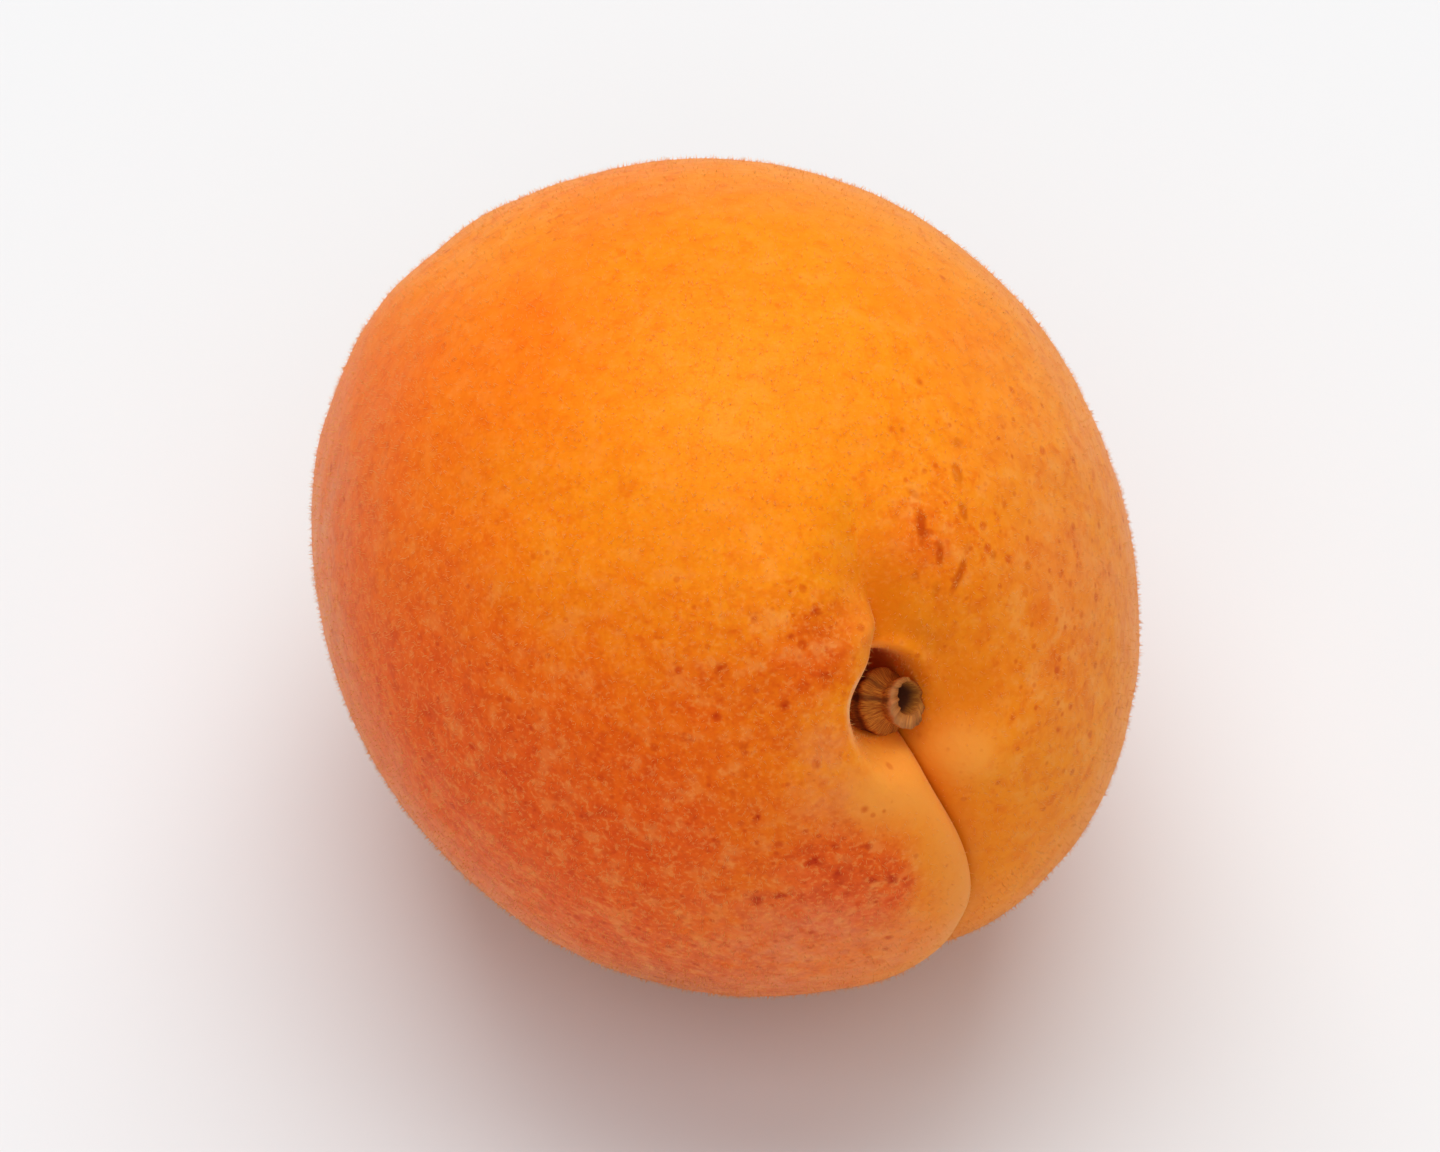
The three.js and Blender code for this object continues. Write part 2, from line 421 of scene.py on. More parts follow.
DASHES = (
    Dash(144, 24.2, 6, 2.2, 0.7, 1.0),
    Dash(136, 21.1, 15, 1.6, 0.6, 0.9),
    Dash(133, 32.7, 15, 1.6, 0.8, 0.7),
    Dash(130, 27.5, 30, 1.4, 0.6, 0.7),
    Dash(125, 19.0, 2, 2.3, 0.6, 1.0),
    Dash(126, 23.1, 10, 1.0, 0.5, 0.4),
    Dash(133, 16.1, 10, 1.1, 0.6, 0.4),
    Dash(115, 24.2, 0, 0.7, 0.6, 0.6),
    Dash(101, 27.5, 0, 0.7, 0.6, 0.6),
    Dash(145, 17.5, 0, 0.6, 0.6, 0.5),
    Dash(133, 36.9, 0, 0.7, 0.7, 0.5),
    Dash(146, 28.6, 60, 1.0, 0.5, 0.4),
)


@dataclass(frozen=True)
class ApricotSkin:
    """Velvety skin: orange ground, red blush, pale lip, speckles and fine grain."""

    # Colours that are laid on in turn
    golden: Colour = srgb(252, 148, 14)
    orange: Colour = srgb(250, 116, 12)
    # Painted shade: a deeper, darker gold in the back seam's valley and beside the pit.
    shaded_gold: Colour = srgb(226, 112, 0)
    blush: Colour = srgb(242, 91, 16)
    deep_blush: Colour = srgb(190, 50, 14)
    # The lip's pale tone, and a painted highlight on the knob right of the suture.
    pale: Colour = srgb(252, 160, 66)
    hollow: Colour = srgb(250, 108, 26)
    # A pinkish-tan tone, and painted sheen and bounce light on the left and lower rims.
    pinkish_tone_and_sheen: Colour = srgb(238, 146, 104)
    # Painted highlight along the pit's left rim.
    edge: Colour = srgb(255, 196, 146)
    scar: Colour = srgb(84, 46, 22)
    # Pale flecks: the down's pale tone, partly painted glints of light on the fuzz.
    grain: Colour = srgb(255, 176, 92)

    # Colours that multiply what is under them
    speck: Colour = (0.76, 0.44, 0.3, 1.0)
    dot: Colour = (0.7, 0.36, 0.26, 1.0)
    streak: Colour = (0.68, 0.43, 0.06, 1.0)
    fleck: Colour = (0.92, 0.69, 0.45, 1.0)
    blotch: Colour = (0.92, 0.76, 0.62, 1.0)
    # crease and shade are painted shade: in the suture's crease and where the skin lies in shadow.
    crease: Colour = (0.76, 0.66, 0.08, 1.0)
    shade: Colour = (0.72, 0.68, 0.6, 1.0)

    # Layers of noise, from broad to fine
    broad_noise: Noise = Noise(0.09, rough=0.55)
    cloud_noise: Noise = Noise(0.28, 3.0, 0.6)
    patch_noise: Noise = Noise(0.5, rough=0.6)
    blotch_noise: Noise = Noise(0.75, rough=0.55)
    fleck_noise: Noise = Noise(1.25, 2.5, 0.55, 0.6)
    fine_noise: Noise = Noise(1.3, rough=0.6)
    grain_noise: Noise = Noise(3.4, rough=0.55)

    # Where each layer starts and where it is full
    ripe_step: Pair = (0.05, 0.95)
    blush_step: Pair = (0.15, 1.05)
    mottle_step: Pair = (0.48, 0.68)
    red_grain_step: Pair = (0.5, 0.72)
    pale_grain_step: Pair = (0.52, 0.68)
    blotch_step: Pair = (0.48, 0.68)
    light_blotch_step: Pair = (0.52, 0.7)
    fleck_patch_step: Pair = (0.42, 0.62)
    fleck_step: Pair = (0.5, 0.72)
    dot_step: Pair = (0.2, 1.0)
    chance_step: Pair = (-0.05, 0.2)
    dash_step: Pair = (0.3, 1.3)

    # How far noise breaks up each layer
    ripe_stir: float = 0.6
    blush_clouds: float = 0.5
    blush_stir: float = 0.3
    pinkish_sheen_stir: float = 1.1
    pinkish_sheen_clouds: float = 1.9
    dot_stir: float = 1.2
    speck_stir: float = 0.22
    dash_stir: float = 1.1

    # How strong each layer is
    blush_share: float = 0.9
    pinkish_sheen_share: float = 0.6
    mottle_share: float = 0.48
    large_mottle: float = 0.5
    small_mottle: float = 0.35
    mottle: Share = Share(0.12, blush=0.8)
    pale_grain: Share = Share(0.08, blush=0.16, speckle=0.08)
    dark_blotches: Share = Share(0.3, speckle=0.7)
    light_blotches: Share = Share(0.07, speckle=0.26)
    flecks: Share = Share(0.3, speckle=0.5)
    fleck_patches: float = 0.3
    speck_core: float = 0.35
    faintest_speck: float = 0.4
    speck_range: float = 0.8
    pale_share: float = 0.75
    shaded_gold_share: float = 0.8
    pit_rim_highlight_share: float = 0.65
    specks: tuple[Dots, ...] = (
        Dots(0.62, 0.22, 1.0, 1.0),
        Dots(1.15, 0.26, 0.8, 0.9),
        Dots(2.1, 0.3, 0.35, 0.9),
    )
    dashes: tuple[Dash, ...] = DASHES

    # Gloss, flesh, bloom and relief
    roughness: float = 0.5
    roughness_stir: float = 0.12
    ior: float = 1.38
    gloss: float = 0.1
    flesh_share: float = 0.25
    flesh_reach: Triple = (1.0, 0.42, 0.12)
    flesh_scale: float = 1.5 * MM
    bloom: Colour = srgb(255, 192, 140)
    bloom_share: float = 0.31
    bloom_spread: float = 0.27
    dimples: Share = Share(0.5, speckle=1.0)
    dimple_depth: float = 0.07 * MM
    grain_depth: float = 0.03 * MM
    relief: float = 0.7

    def material(self) -> bpy.types.Material:
        """Return the skin's material.

        Returns:
            The skin's material.
        """
        net = Net("apricot_skin")
        place = net.places()
        cloud = net.noise(place, self.cloud_noise)
        fine = net.noise(place, self.fine_noise)
        grain = net.noise(place, self.grain_noise)
        washed = self._wash(net, place, cloud, fine, grain)
        edged = self._edges(net, washed)
        spotted = self._spots(net, place, fine, edged)
        # Pale flecks in flushed and speckled skin: the down's pale tone, partly painted glints on
        # the fuzz.
        lights = (1.0 - grain).step(*self.pale_grain_step) * self.pale_grain.over(net)
        downy_glints = net.mix(lights * (1.0 - net.measured("pale")), spotted, self.grain)
        coloured = net.mix(net.measured("hollow"), downy_glints, self.hollow)
        coloured = net.mix(net.measured("scar"), coloured, self.scar)
        dimples = net.bump(fine * self.dimples.over(net), self.dimple_depth, self.relief)
        return net.finish(
            {
                "Base Color": coloured,
                "Roughness": self.roughness + (fine - 0.5) * self.roughness_stir,
                "Normal": net.bump(grain, self.grain_depth, self.relief, dimples),
                "IOR": self.ior,
                "Specular IOR Level": self.gloss,
                "Subsurface Weight": self.flesh_share,
                "Subsurface Radius": self.flesh_reach,
                "Subsurface Scale": self.flesh_scale,
                "Sheen Weight": self.bloom_share,
                "Sheen Roughness": self.bloom_spread,
                "Sheen Tint": self.bloom,
            }
        )

    def _wash(self, net: Net, place: Link, cloud: Link, fine: Link, grain: Link) -> Link:
        """Lay the golden ground, the blush, a pinkish tone with painted sheen and bounce light on
        the rims, and the red mottling.

        Args:
            net: Node tree to add to.
            place: Place on the skin.
            cloud: Broad, soft noise.
            fine: Fine noise.
            grain: The finest noise.

        Returns:
            The colour.
        """
        broad = net.noise(place, self.broad_noise)
        ripe = net.measured("ripe").stirred(broad, self.ripe_stir).step(*self.ripe_step)
        ground = net.mix(ripe, self.golden, self.orange)
        blush = net.measured("blush").stirred(cloud, self.blush_clouds)
        blush = blush.stirred(fine, self.blush_stir).step(*self.blush_step)
        flushed = net.mix(blush * self.blush_share, ground, self.blush)
        broken = ((fine - 0.5) * self.pinkish_sheen_stir).stirred(cloud, self.pinkish_sheen_clouds)
        # Pinkish tone, and painted sheen and bounce light on the rims.
        pinkish_sheen = net.measured("pinkish_tone_and_sheen") * (broken + self.pinkish_sheen_share)
        pinkish_sheened = net.mix(pinkish_sheen.clamp(), flushed, self.pinkish_tone_and_sheen)
        large = fine.step(*self.mottle_step) * self.large_mottle
        small = grain.step(*self.red_grain_step) * self.small_mottle
        mottle = self.mottle.over(net) * (large + small)
        return net.mix(mottle.clamp() * self.mottle_share, pinkish_sheened, self.deep_blush)

    def _edges(self, net: Net, ground: Link) -> Link:
        """Lay the pale lip, the knob's and the pit rim's painted highlights, and painted shade as
        deeper gold, in the crease and elsewhere.

        Args:
            net: Node tree to add to.
            ground: Colour under the bands.

        Returns:
            The colour.
        """
        # Pale lip and seam bands, and the knob's painted highlight.
        paled = net.mix(net.measured("pale") * self.pale_share, ground, self.pale)
        # Painted shade as deeper gold in the valleys.
        shade_gilded = net.mix(net.measured("shaded_gold") * self.shaded_gold_share, paled, self.shaded_gold)
        # Painted highlight on the pit's rim.
        edged = net.mix(net.measured("edge") * self.pit_rim_highlight_share, shade_gilded, self.edge)
        creased = net.mix(net.measured("crease"), edged, self.crease, Blend.MULTIPLY)
        return net.mix(net.measured("shade"), creased, self.shade, Blend.MULTIPLY)

    def _spots(self, net: Net, place: Link, fine: Link, ground: Link) -> Link:
        """Lay the blotches, flecks, speckles, dots and dashes.

        Args:
            net: Node tree to add to.
            place: Place on the skin.
            fine: Fine noise that breaks up the edges.
            ground: Colour under the spots.

        Returns:
            The colour.
        """
        bare = (1.0 - net.measured("pale")) * (1.0 - net.measured("shaded_gold"))
        blotch = net.noise(place, self.blotch_noise)
        dark = blotch.step(*self.blotch_step) * self.dark_blotches.over(net)
        blotched = net.mix(dark * bare, ground, self.blotch, Blend.MULTIPLY)
        light = (1.0 - blotch).step(*self.light_blotch_step) * self.light_blotches.over(net)
        blotched = net.mix(light * bare, blotched, self.grain)
        flecked = net.mix(self._flecks(net, place) * bare, blotched, self.fleck, Blend.MULTIPLY)
        speckled = net.mix(self._speckles(net, place, fine), flecked, self.speck, Blend.MULTIPLY)
        dots = net.measured("dot").stirred(fine, self.dot_stir).step(*self.dot_step)
        dotted = net.mix(dots, speckled, self.dot, Blend.MULTIPLY)
        return net.mix(self._dashes(net, fine), dotted, self.streak, Blend.MULTIPLY)

    def _flecks(self, net: Net, place: Link) -> Link:
        """Return the strength of the fine, soft-edged flecks that mottle all the skin.

        Args:
            net: Node tree to add to.
            place: Place on the skin.

        Returns:
            The strength, 0 to 1.
        """
        patches = net.noise(place, self.patch_noise).step(*self.fleck_patch_step)
        share = self.flecks.over(net) + patches * self.fleck_patches
        return net.noise(place, self.fleck_noise).step(*self.fleck_step) * share

    def _speckles(self, net: Net, place: Link, fine: Link) -> Link:
        """Return the strength of the dark dots, which crowd where the mesh says so.

        Args:
            net: Node tree to add to.
            place: Place on the skin.
            fine: Fine noise that breaks up the dots.

        Returns:
            The strength, 0 to 1.
        """
        total = None
        for dots in self.specks:
            inputs = {"Vector": place, "Scale": dots.per_mm / MM, "Randomness": 1.0}
            near = net.node("ShaderNodeTexVoronoi", {}, inputs, output="Distance")
            lot = near.beside("Color")
            chance = net.node("ShaderNodeSeparateColor", {}, {"Color": lot}, output=0)
            chosen = (net.measured("speckle") * dots.share - chance).step(*self.chance_step)
            beyond = near.stirred(fine, self.speck_stir)
            beyond = beyond.step(dots.size * self.speck_core, dots.size)
            dot = (1.0 - beyond) * chosen * dots.strength
            total = dot if total is None else net.largest(total, dot)
        return total * (self.faintest_speck + fine * self.speck_range)

    def _dashes(self, net: Net, fine: Link) -> Link:
        """Return the strength of the red dashes above the stem.

        Args:
            net: Node tree to add to.
            fine: Fine noise that breaks up the edges.

        Returns:
            The strength, 0 to 1.
        """
        flat = net.node(
            "ShaderNodeCombineXYZ", {},
            {"X": net.measured("meridian"), "Y": net.measured("down"), "Z": 0.0},
        )
        total = None
        for dash in self.dashes:
            squeeze = math.sin(math.radians(dash.polar))
            centre = (math.radians(dash.turn) * squeeze, math.radians(dash.polar), 0.0)
            turned = (0.0, 0.0, -math.radians(dash.heading))
            half = (dash.width / 2 / DASH_REACH, dash.length / 2 / DASH_REACH, 1.0)
            near = net.node(
                "ShaderNodeMapping", {"vector_type": "TEXTURE"},
                {
                    "Vector": net.scaled(flat, (squeeze, 1.0, 1.0)),
                    "Location": centre,
                    "Rotation": turned,
                    "Scale": half,
                },
            )
            length = {"operation": "LENGTH"}
            apart = net.node("ShaderNodeVectorMath", length, {0: near}, output="Value")
            beyond = apart.stirred(fine, self.dash_stir).step(*self.dash_step)
            mark = (1.0 - beyond) * dash.strength
            total = mark if total is None else net.largest(total, mark)
        return total * net.measured("streak")


@dataclass(frozen=True)
class DownHair:
    """Pale, soft hairs."""

    pale: Colour = srgb(255, 184, 108)
    warm: Colour = srgb(252, 160, 78)
    patches: Noise = Noise(0.15, 1.0)
    roughness: float = 0.6
    gloss: float = 0.2

    def material(self) -> bpy.types.Material:
        """Return the hairs' material.

        Returns:
            The down's material.
        """
        net = Net("down_hair")
        tone = net.mix(net.noise(net.places(), self.patches), self.pale, self.warm)
        inputs = {"Roughness": self.roughness, "Specular IOR Level": self.gloss}
        return net.finish({"Base Color": tone, **inputs})


@dataclass(frozen=True)
class StemWood:
    """Dry stem wood: tan fibres, dark patches, painted shade in its hollows and folds, and a grey
    rim.
    """

    tan: Colour = srgb(234, 152, 50)
    brown: Colour = srgb(168, 84, 10)
    # Dark patches of the wood; also the colour of the painted shade.
    dark: Colour = srgb(88, 38, 8)
    rim: Colour = srgb(208, 136, 82)
    patch_share: float = 0.5
    rim_share: float = 0.55
    rim_grain: float = 0.5
    roughness: float = 0.72
    roughness_stir: float = 0.15
    gloss: float = 0.3
    patches: Noise = Noise(0.7, 3.0)
    grain: Noise = Noise(5.0, 3.0)
    fibres: Noise = Noise(1.0, 4.0, 0.6)
    fibre_scale: Triple = (9.0 * MM, 0.55 * MM, MM)
    fibre_step: Pair = (0.35, 0.7)
    patch_step: Pair = (0.45, 0.75)
    fibre_depth: float = 0.12 * MM
    grain_relief: float = 0.5
    relief: float = 0.8

    def material(self) -> bpy.types.Material:
        """Return the wood's material.

        Returns:
            The wood's material.
        """
        net = Net("stem_wood")
        along = net.node(
            "ShaderNodeCombineXYZ", {},
            {"X": net.measured("round"), "Y": net.measured("along"), "Z": 0.0},
        )
        fibres = net.noise(net.scaled(along, self.fibre_scale), self.fibres)
        patches = net.noise(net.places(), self.patches)
        grain = net.noise(net.places(), self.grain)
        wood = net.mix(fibres.step(*self.fibre_step), self.brown, self.tan)
        wood = net.mix(patches.step(*self.patch_step) * self.patch_share, wood, self.dark)
        grey = net.measured("rim") * (self.rim_share + grain * self.rim_grain)
        wood = net.mix(grey, wood, self.rim)
        # Painted shade in the hollow end, the folds, the gap below the ring and the lower body.
        wood = net.mix(net.measured("dark"), wood, self.dark)
        relief = fibres + grain * self.grain_relief
        return net.finish(
            {
                "Base Color": wood,
                "Roughness": self.roughness + patches * self.roughness_stir,
                "Normal": net.bump(relief, self.fibre_depth, self.relief),
                "Specular IOR Level": self.gloss,
            }
        )


@dataclass(frozen=True)
class PaleFloor:
    """Plain pale table top."""

    colour: Colour = srgb(232, 233, 234)
    shaded: Colour = srgb(224, 225, 227)
    share: float = 0.25
    clouds: Noise = Noise(0.004)
    roughness: float = 0.85
    gloss: float = 0.2

    def material(self) -> bpy.types.Material:
        """Return the floor's material.

        Returns:
            The floor's material.
        """
        net = Net("pale_floor")
        soft = net.noise(net.places(), self.clouds)
        tone = net.mix(soft * self.share, self.colour, self.shaded)
        inputs = {"Roughness": self.roughness, "Specular IOR Level": self.gloss}
        return net.finish({"Base Color": tone, **inputs})


# ---------------------------------------------------------------- meshes


def closed_mesh(
    name: str, rings: np.ndarray, first: np.ndarray, last: np.ndarray
) -> bpy.types.Object:
    """Join rings of points into one closed, smooth object.

    Args:
        name: Name of the object.
        rings: Points as ring, place round the ring, axis; in millimetres.
        first: Pole before the first ring.
        last: Pole after the last ring.

    Returns:
        The object, linked to the scene.
    """
    count, round_count = rings.shape[:2]
    points = np.vstack([rings.reshape(-1, 3), first, last]) * MM
    ring = np.arange(count - 1)[:, None] * round_count
    here = np.arange(round_count)[None, :]
    after = (here + 1) % round_count
    below = ring + round_count
    quads = np.stack([ring + here, below + here, below + after, ring + after], axis=-1)
    top, bottom = len(points) - 2, len(points) - 1
    base = (count - 1) * round_count
    caps = [(top, i, (i + 1) % round_count) for i in range(round_count)]
    caps += [(bottom, base + (i + 1) % round_count, base + i) for i in range(round_count)]
    mesh = bpy.data.meshes.new(name)
    mesh.from_pydata(points.tolist(), [], quads.reshape(-1, 4).tolist() + caps)
    mesh.shade_smooth()
    made = bpy.data.objects.new(name, mesh)
    bpy.context.scene.collection.objects.link(made)
    return made


def hold(made: bpy.types.Object, name: str, rings: np.ndarray, first: float, last: float) -> None:
    """Store a number for each point of a mesh that closed_mesh made, and for its poles."""
    values = np.concatenate([rings.ravel(), [first, last]]).astype(np.float32)
    made.data.attributes.new(name, "FLOAT", "POINT").data.foreach_set("value", values)


# ---------------------------------------------------------------- the fruit


@dataclass(frozen=True)
class Wave:
    """One layer of unevenness: its seed, and its wavelength and height in millimetres."""

    seed: int
    length: float
    height: float

    def at(self, points_mm: np.ndarray) -> np.ndarray:
        """Return the height of the layer at each point."""
        return self.height * Ripple(self.seed, self.length).at(points_mm)


@dataclass(frozen=True)
class Spot:
    """A soft round area of the skin: where it is, how strong and how wide."""

    turn: float
    polar: float
    strength: float
    spread: float

    def at(self, toward: np.ndarray) -> np.ndarray:
        """Return the spot's strength toward each direction.

        Args:
            toward: Unit vectors from the middle of the fruit.

        Returns:
            The strength toward each one.
        """
        middle = direction(np.radians(self.turn), np.radians(self.polar))
        apart = np.linalg.norm(toward - middle, axis=-1)
        return self.strength * bell(apart / math.radians(self.spread))


@dataclass
class Pose:
    """How the fruit lies: angles in degrees, the flat spot's depth in millimetres."""

    stem_azimuth: float = 28.2
    stem_elevation: float = 31.0
    roll: float = 8.6
    cut: float = 0.55

    def axes(self) -> np.ndarray:
        """Return the fruit's own axes as rows in the resting frame.

        Returns:
            The suture's, the cheek's and the stem's axis, one a row.
        """
        azimuth = math.radians(self.stem_azimuth)
        elevation = math.radians(self.stem_elevation)
        stem = Vector(
            (
                math.sin(azimuth) * math.cos(elevation),
                -math.cos(azimuth) * math.cos(elevation),
                math.sin(elevation),
            )
        )
        down = Vector((0.0, 0.0, -1.0))
        suture = (down - down.dot(stem) * stem).normalized()
        suture.rotate(Quaternion(stem, math.radians(self.roll)))
        cheek = stem.cross(suture)
        return np.array([suture, cheek, stem])


@dataclass(frozen=True)
class Lip:
    """The raised edge left of a groove: its rise, and how far it leans over the groove."""

    rise: float
    offset: float
    width: float
    lean: float
    lean_offset: float
    lean_width: float
    lean_start: float
    floor: float
    polar: float
    reach: float

    def fade(self, polar: np.ndarray) -> np.ndarray:
        """Return the lip's share at each polar angle, in degrees."""
        return self.floor + (1 - self.floor) * bell((polar - self.polar) / self.reach)


@dataclass(frozen=True)
class Bend:
    """A bend of a line on its way to the apex: where, how wide and how far, in degrees."""

    polar: float
    spread: float
    turn: float


@dataclass(frozen=True)
class Drift:
    """A slow drift of a line between two polar angles, in degrees."""

    start: float
    end: float
    turn: float


@dataclass(frozen=True)
class Groove:
    """A groove from the stem to the apex, steep on its left and gentle on its right."""

    depth: float
    stem_depth: float
    stem_reach: float
    steep: float
    gentle: float
    softened: float
    lip: Lip
    bends: tuple[Bend, ...]
    drifts: tuple[Drift, ...]
    steep_power: float = 1.4
    gentle_power: float = 1.2
    stem_polar: float = 10.0
    start: float = 1.5
    full: float = 4.0
    soft_from: float = 11.0
    soft_to: float = 18.0
    lean_reach: float = 2.2
    fade_from: float = 150.0
    fade_to: float = 175.0

    def turned(self, polar: np.ndarray) -> np.ndarray:
        """Return how far the line has wandered at each polar angle.

        Args:
            polar: Angle from the stem axis, in radians.

        Returns:
            The angle about the stem axis, in radians.
        """
        p = np.degrees(polar)
        wander = sum(bend.turn * bell((p - bend.polar) / bend.spread) for bend in self.bends)
        wander = wander + sum(drift.turn * ramp(drift.start, drift.end, p) for drift in self.drifts)
        return np.radians(wander)

    def raised(self, polar: np.ndarray, across: np.ndarray, out: np.ndarray) -> np.ndarray:
        """Return how far the skin is raised.

        Args:
            polar: Angle from the stem axis, in degrees.
            across: Distance to the right of the groove's line.
            out: Distance from the stem axis.

        Returns:
            The rise, negative in the groove.
        """
        depth = self.depth + self.stem_depth * bell((polar - self.stem_polar) / self.stem_reach)
        steep = self.steep + self.softened * ramp(self.soft_from, self.soft_to, polar)
        left = wall(across / steep, self.steep_power)
        right = wall(across / self.gentle, self.gentle_power)
        side = np.where(across < 0, left, right)
        ridge = bell((across + self.lip.offset) / self.lip.width)
        lip = self.lip.rise * ridge * self.lip.fade(polar)
        return (lip - depth * side) * ramp(self.start, self.full, out)

    def leaning(self, polar: np.ndarray, across: np.ndarray, out: np.ndarray) -> np.ndarray:
        """Return how far the lip leans to the right.

        Args:
            polar: Angle from the stem axis, in degrees.
            across: Distance to the right of the groove's line.
            out: Distance from the stem axis.

        Returns:
            The lean, in millimetres.
        """
        lean = self.lip.lean * bell((across + self.lip.lean_offset) / self.lip.lean_width)
        lean = lean * ramp(self.lip.lean_start, self.lip.lean_start + self.lean_reach, out)
        return lean * (1 - ramp(self.fade_from, self.fade_to, polar))


# Where the skin is coloured: turn, polar angle, strength and spread of each soft spot
MARKS = {
    "ripe": (
        Spot(-95, 72, 0.8, 54),
        Spot(-30, 60, 0.5, 30),
        Spot(95, 25, 0.35, 25),
        Spot(60, 110, 0.4, 40),
        Spot(165, 88, 0.4, 28),
        Spot(-165, 76, 0.35, 18),
        Spot(135, 58, 0.25, 18),
        Spot(-140, 98, 0.5, 18),
        Spot(-132, 126, 0.6, 26),
    ),
    "blush": (
        Spot(-92, 58, 0.8, 33),
        Spot(-118, 92, 0.42, 34),
        Spot(-42, 24, 0.8, 9),
        Spot(-29, 27, 0.6, 5),
        Spot(-38, 33, 0.5, 7),
        Spot(-78, 36, 0.3, 12),
        Spot(-45, 70, 0.6, 32),
        Spot(-42, 78, 0.4, 10),
        Spot(-122, 23, 0.42, 14),
        Spot(142, 21.5, 0.65, 7.5),
        Spot(70, 100, 0.35, 30),
        Spot(-104, 132, 0.75, 26),
        Spot(-70, 118, 0.4, 30),
        Spot(165, 128, 0.45, 22),
        Spot(-163, 15.5, 0.34, 6),
        Spot(-140, 14.5, 0.28, 6),
    ),
    # Spot(25, 13.5) is a painted highlight on the knob right of the suture.
    "pale": (
        Spot(25, 13.5, 1.4, 4.5),
        Spot(-45, 12.5, 1.1, 5),
    ),
    # Pinkish-tan tone; the spots on the left and lower rims are painted sheen and bounce light.
    "pinkish_tone_and_sheen": (
        Spot(-111, 107, 1.5, 14),
        Spot(-134, 106, 0.5, 13),
        Spot(-38, 45, 0.7, 14),
        Spot(-70, 97, 0.8, 24),
        Spot(-42, 84, 0.8, 22),
        Spot(80, 60, 0.5, 30),
        Spot(-94, 13, 0.7, 3.5),
        Spot(-70, 16, 0.5, 4.5),
        Spot(-10, 42, 0.4, 9),
    ),
    # Painted shade as deeper gold: right of the pit and in the back seam's valley.
    "shaded_gold": (
        Spot(65, 11, 0.7, 5),
        Spot(161, 12, 0.7, 4.5),
        Spot(161, 17, 0.5, 5),
    ),
    "speckle": (
        Spot(60, 25, 0.8, 15),
        Spot(-135, 19, 0.75, 13),
        Spot(-36, 25, 0.7, 11),
        Spot(-95, 50, 0.5, 36),
        Spot(143, 30, 0.7, 8),
        Spot(120, 20, 0.4, 8),
        Spot(70, 62, 0.5, 42),
        Spot(112, 40, 0.3, 22),
        Spot(-50, 60, 0.6, 30),
        Spot(-100, 125, 0.55, 34),
        Spot(170, 120, 0.5, 34),
        Spot(90, 125, 0.5, 30),
    ),
    "streak": (Spot(130, 25, 1.6, 24),),
    "shade": (
        Spot(6, 60, 0.8, 7),
        Spot(-45, 68, 0.8, 11),
        Spot(-12, 66, 0.5, 9),
        Spot(-165, 15.5, 0.45, 5),
        Spot(122, 8.5, 0.5, 4),
    ),
    "dot": (
        Spot(-52, 22, 1.0, 0.9),
        Spot(-41, 20, 1.0, 0.8),
        Spot(-54, 25.5, 1.0, 1.1),
        Spot(-45, 26, 1.0, 0.9),
        Spot(-27, 25, 1.0, 1.0),
        Spot(-33, 25.5, 0.8, 0.8),
        Spot(-39, 23.5, 0.7, 0.8),
        Spot(-54, 33, 1.0, 1.1),
        Spot(-50, 31.5, 0.7, 0.8),
        Spot(-57, 36, 1.0, 1.0),
        Spot(-44, 40, 0.8, 0.9),
        Spot(-36, 33, 0.7, 0.8),
        Spot(-87, 15, 0.75, 0.9),
        Spot(-103, 24, 0.8, 0.9),
        Spot(-79, 26, 0.7, 0.8),
        Spot(-146, 25, 0.8, 1.0),
        Spot(-162, 19, 0.8, 0.9),
        Spot(-161, 16, 0.6, 0.7),
        Spot(-147, 20, 0.8, 0.9),
        Spot(-138, 13, 0.7, 1.0),
        Spot(-129, 27, 0.8, 0.9),
        Spot(-119, 18, 0.8, 0.9),
        Spot(-107, 31, 0.8, 1.0),
        Spot(-131, 36, 0.8, 0.9),
        Spot(-77, 33, 0.7, 0.9),
    ),
}


